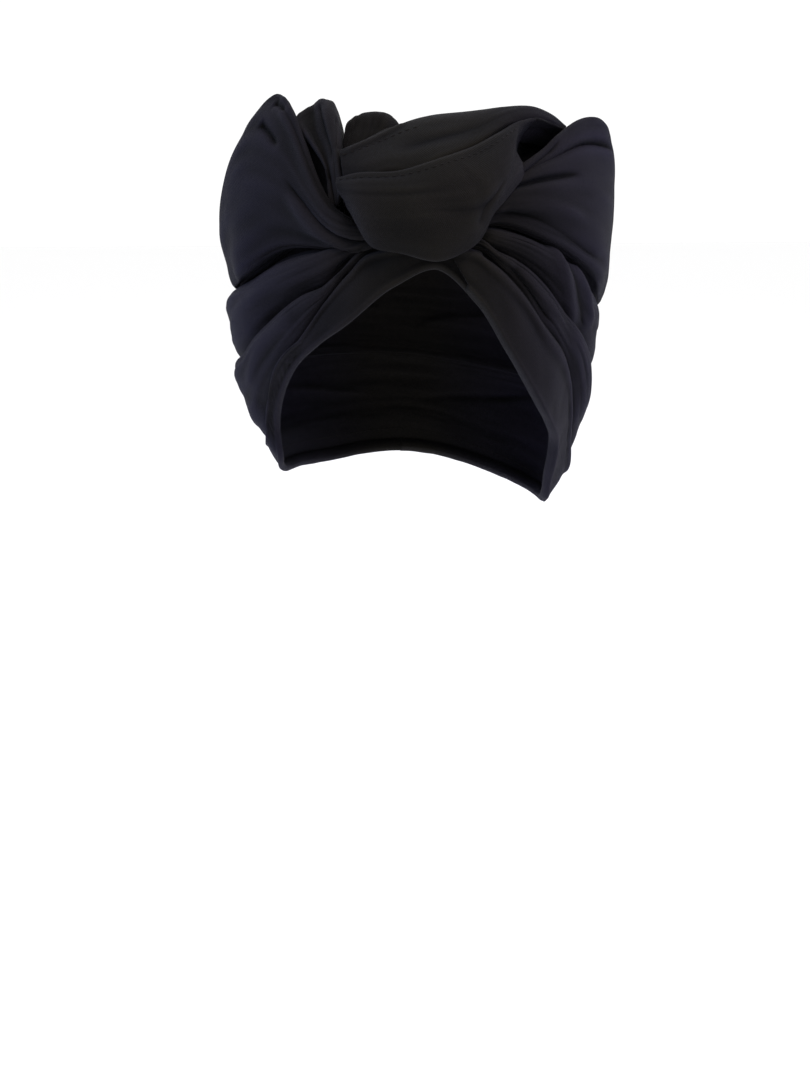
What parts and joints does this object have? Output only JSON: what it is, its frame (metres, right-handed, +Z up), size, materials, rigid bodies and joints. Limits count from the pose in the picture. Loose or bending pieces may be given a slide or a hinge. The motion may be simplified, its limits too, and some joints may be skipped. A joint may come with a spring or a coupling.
{
  "type": "knotted turban headwrap",
  "caption": "Ready-tied cloth turban headwrap in its worn form: a hollow cap with brow bands, swept side wings, a front knot with a flap over it, and ruffles behind.",
  "frame": {"origin": "the top of the head inside the crown, where the wrap sits on its wearer", "axes": "+Z up, -Y the front of the wrap, where the knot is, and +X to the right of someone facing it"},
  "size_m": [0.2169, 0.2158, 0.2251],
  "materials": {
    "turban_cloth": "near-black plain-weave cotton blend with a soft sheen, slightly blue on the sides"
  },
  "bodies": {
    "root": {"crown_cap": "turban_cloth", "brow_band_left": "turban_cloth", "brow_band_right": "turban_cloth", "left_wing": "turban_cloth", "right_wing": "turban_cloth", "knot_wrap": "turban_cloth", "knot_flap": "turban_cloth", "middle_ruffle": "turban_cloth", "back_ruffle": "turban_cloth"}
  },
  "joints": []
}
